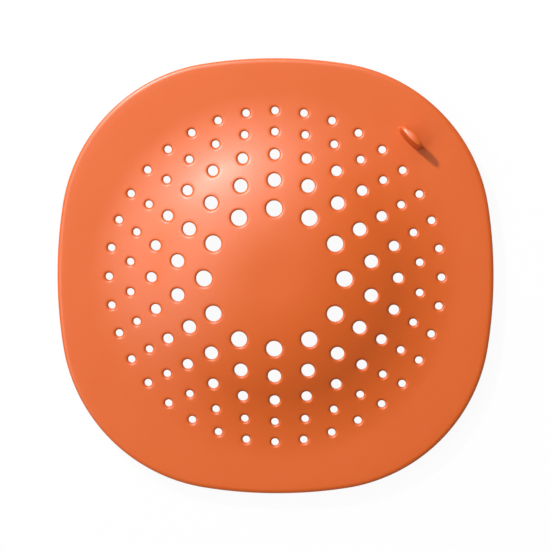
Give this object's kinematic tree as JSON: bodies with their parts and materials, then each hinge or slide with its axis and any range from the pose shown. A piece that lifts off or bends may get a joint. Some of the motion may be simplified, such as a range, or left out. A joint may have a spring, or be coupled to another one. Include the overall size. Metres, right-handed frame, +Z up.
{
  "type": "sink strainer mat",
  "caption": "Soft domed rounded-square drain mat with rings of drain holes, a flexing pull fin on its rim and suction cups under its corners.",
  "frame": {"origin": "under the middle of the mat, in the plane of the suction cups' lips on the sink", "axes": "+Z up out of the sink, +X to the right and +Y towards the top of the picture"},
  "size_m": [0.145, 0.145, 0.0164],
  "materials": {
    "mat_silicone": "satin moulded silicone",
    "cup_silicone": "satin moulded silicone"
  },
  "bodies": {
    "mat": {"strainer_mat": "mat_silicone"},
    "tab": {"lift_tab": "mat_silicone"},
    "cup_1": {"suction_cup_1": "cup_silicone"},
    "cup_2": {"suction_cup_2": "cup_silicone"},
    "cup_3": {"suction_cup_3": "cup_silicone"},
    "cup_4": {"suction_cup_4": "cup_silicone"}
  },
  "joints": [
    {"name": "tab_flex", "type": "hinge", "parent": "mat", "child": "tab", "pos_m": [0.04447, 0.04605, 0.00765], "axis": [-0.6972, 0.7169, 0], "range_deg": [-60, 60], "stiffness_Nm_per_rad": 0.02},
    {"name": "cup_1_press", "type": "slide", "parent": "mat", "child": "cup_1", "axis": [0, 0, 1], "range_m": [0, 0.0015], "stiffness_N_per_m": 1500, "deforming": ["suction_cup_1"]},
    {"name": "cup_2_press", "type": "slide", "parent": "mat", "child": "cup_2", "axis": [0, 0, 1], "range_m": [0, 0.0015], "stiffness_N_per_m": 1500, "deforming": ["suction_cup_2"]},
    {"name": "cup_3_press", "type": "slide", "parent": "mat", "child": "cup_3", "axis": [0, 0, 1], "range_m": [0, 0.0015], "stiffness_N_per_m": 1500, "deforming": ["suction_cup_3"]},
    {"name": "cup_4_press", "type": "slide", "parent": "mat", "child": "cup_4", "axis": [0, 0, 1], "range_m": [0, 0.0015], "stiffness_N_per_m": 1500, "deforming": ["suction_cup_4"]}
  ]
}
